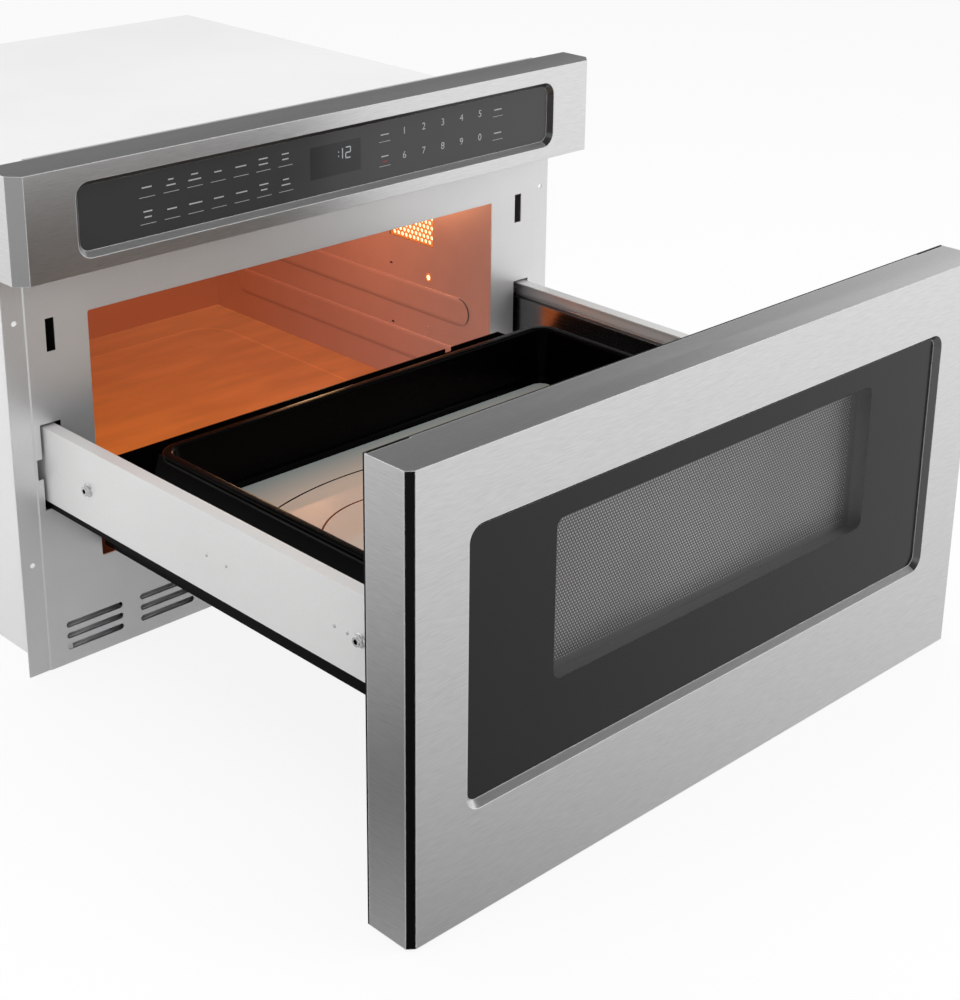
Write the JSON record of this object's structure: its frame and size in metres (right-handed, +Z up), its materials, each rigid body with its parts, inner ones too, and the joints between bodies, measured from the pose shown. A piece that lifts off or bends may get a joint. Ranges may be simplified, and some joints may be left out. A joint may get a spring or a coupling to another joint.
{
  "type": "microwave drawer",
  "caption": "Built-in microwave oven whose whole door pulls out as a drawer, with tray, telescopic slides, lit cavity and a control panel above.",
  "frame": {"origin": "centre of the base pan's underside", "axes": "+X to the right of someone who faces the oven, +Y to the back, +Z up; the drawer opens towards -Y"},
  "size_m": [0.606, 1.005, 0.426],
  "materials": {
    "brushed_front": "brushed along its width",
    "frame_paint": "satin light grey",
    "case_paint": "satin white",
    "zinc_plate": "zinc plated",
    "cage_steel": "plain",
    "rail_paint": "satin pale grey",
    "tinted_glass": "polished, tinted",
    "black_plastic": "fine grain",
    "circuit_board": "lacquered",
    "cavity_steel": "satin",
    "aluminised_steel": "aluminised",
    "lamp_glass": "clear",
    "cover_plastic": "smooth",
    "core_iron": "varnished",
    "gear_steel": "hobbed",
    "mesh_black": "perforated, satin",
    "frame_black": "satin black",
    "tray_enamel": "gloss black enamel",
    "floor_ceramic": "smooth"
  },
  "bodies": {
    "oven": {"front_frame": "frame_paint", "outer_case": "case_paint", "base_pan": "case_paint", "rear_cover": "case_paint", "power_inlet": "black_plastic", "case_screws": "zinc_plate", "control_fascia": "brushed_front", "control_glass": "tinted_glass", "display_module": "black_plastic", "touch_board": "circuit_board", "panel_bracket": "frame_paint", "cavity_liner": "cavity_steel", "lamp_grille": "cavity_steel", "lamp_housing": "aluminised_steel", "lamp_socket": "black_plastic", "cavity_lamp": "lamp_glass", "stirrer_cover": "cover_plastic", "waveguide": "aluminised_steel", "stirrer_motor": "aluminised_steel", "magnetron": "aluminised_steel", "fan_shroud": "zinc_plate", "fan_motor": "aluminised_steel", "cavity_supports": "zinc_plate", "power_transformer": "core_iron", "capacitor": "aluminised_steel", "power_board": "circuit_board", "drive_motor": "black_plastic", "interlock_switch_left": "black_plastic", "interlock_switch_right": "black_plastic", "slide_bracket_left": "zinc_plate", "slide_bracket_right": "zinc_plate", "slide_outer_left": "zinc_plate", "slide_outer_right": "zinc_plate"},
    "drawer": {"drawer_rack": "black_plastic", "door_skin": "brushed_front", "door_glass": "tinted_glass", "window_mesh": "mesh_black", "inner_glass": "tinted_glass", "door_inner_frame": "frame_black", "choke_cover": "black_plastic", "rail_screws": "zinc_plate", "tray_basin": "tray_enamel", "ceramic_floor": "floor_ceramic", "tray_carrier": "frame_black", "tray_beams": "zinc_plate", "slide_inner_left": "zinc_plate", "slide_inner_right": "zinc_plate", "rail_left": "rail_paint", "rail_right": "rail_paint", "door_hook_left": "zinc_plate", "door_hook_right": "zinc_plate"},
    "slide_middle_left": {"slide_middle_left": "zinc_plate"},
    "slide_middle_right": {"slide_middle_right": "zinc_plate"},
    "ball_cage_outer_left": {"ball_cage_outer_left": "cage_steel"},
    "ball_cage_outer_right": {"ball_cage_outer_right": "cage_steel"},
    "ball_cage_inner_left": {"ball_cage_inner_left": "cage_steel"},
    "ball_cage_inner_right": {"ball_cage_inner_right": "cage_steel"},
    "drive_pinion": {"drive_pinion": "gear_steel"},
    "stirrer": {"stirrer": "aluminised_steel"},
    "fan": {"fan_impeller": "black_plastic"}
  },
  "joints": [
    {"name": "drawer_slide", "type": "slide", "parent": "oven", "child": "drawer", "axis": [0, 1, 0], "range_m": [0, 0.42]},
    {"name": "slide_middle_left_slide", "type": "slide", "parent": "oven", "child": "slide_middle_left", "axis": [0, 1, 0], "range_m": [0, 0.21]},
    {"name": "ball_cage_outer_left_slide", "type": "slide", "parent": "oven", "child": "ball_cage_outer_left", "axis": [0, 1, 0], "range_m": [0, 0.105]},
    {"name": "ball_cage_inner_left_slide", "type": "slide", "parent": "oven", "child": "ball_cage_inner_left", "axis": [0, 1, 0], "range_m": [0, 0.315]},
    {"name": "slide_middle_right_slide", "type": "slide", "parent": "oven", "child": "slide_middle_right", "axis": [0, 1, 0], "range_m": [0, 0.21]},
    {"name": "ball_cage_outer_right_slide", "type": "slide", "parent": "oven", "child": "ball_cage_outer_right", "axis": [0, 1, 0], "range_m": [0, 0.105]},
    {"name": "ball_cage_inner_right_slide", "type": "slide", "parent": "oven", "child": "ball_cage_inner_right", "axis": [0, 1, 0], "range_m": [0, 0.315]},
    {"name": "pinion_spin", "type": "hinge", "parent": "oven", "child": "drive_pinion", "pos_m": [-0.2586, -0.2475, 0.126], "axis": [-1, 0, 0], "range_deg": [0, 1337]},
    {"name": "stirrer_spin", "type": "hinge", "parent": "oven", "child": "stirrer", "pos_m": [0, -0.055, 0.305], "axis": [0, 0, 1], "continuous": true},
    {"name": "fan_spin", "type": "hinge", "parent": "oven", "child": "fan", "pos_m": [-0.12, 0.225, 0.205], "axis": [0, 1, 0], "continuous": true}
  ],
  "couplings": [
    {"joint": "slide_middle_left_slide", "follows": "drawer_slide", "ratio": 0.5},
    {"joint": "ball_cage_outer_left_slide", "follows": "drawer_slide", "ratio": 0.25},
    {"joint": "ball_cage_inner_left_slide", "follows": "drawer_slide", "ratio": 0.75},
    {"joint": "slide_middle_right_slide", "follows": "drawer_slide", "ratio": 0.5},
    {"joint": "ball_cage_outer_right_slide", "follows": "drawer_slide", "ratio": 0.25},
    {"joint": "ball_cage_inner_right_slide", "follows": "drawer_slide", "ratio": 0.75},
    {"joint": "pinion_spin", "follows": "drawer_slide", "rad_per_m": 55.556}
  ]
}
